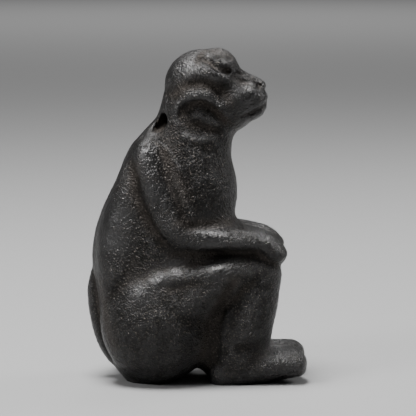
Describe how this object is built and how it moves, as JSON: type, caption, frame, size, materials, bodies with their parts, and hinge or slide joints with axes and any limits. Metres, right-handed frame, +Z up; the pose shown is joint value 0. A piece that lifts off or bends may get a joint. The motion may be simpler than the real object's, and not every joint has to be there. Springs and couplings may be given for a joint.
{
  "type": "monkey statue",
  "caption": "Small cast-iron monkey figure, seated with hands on its knees and head tilted back, with a cord hole through the nape",
  "frame": {"origin": "middle of the footprint of the figure's box, on the plane that it stands on", "axes": "+X the way the monkey faces, +Y its left side, +Z up"},
  "size_m": [0.0453, 0.0292, 0.0681],
  "materials": {
    "cast_iron": "dark cast iron, granular from the mould, worn smoother on the high places, with brown-grey dust in the recesses"
  },
  "bodies": {
    "root": {"monkey_figure": "cast_iron"}
  },
  "joints": []
}
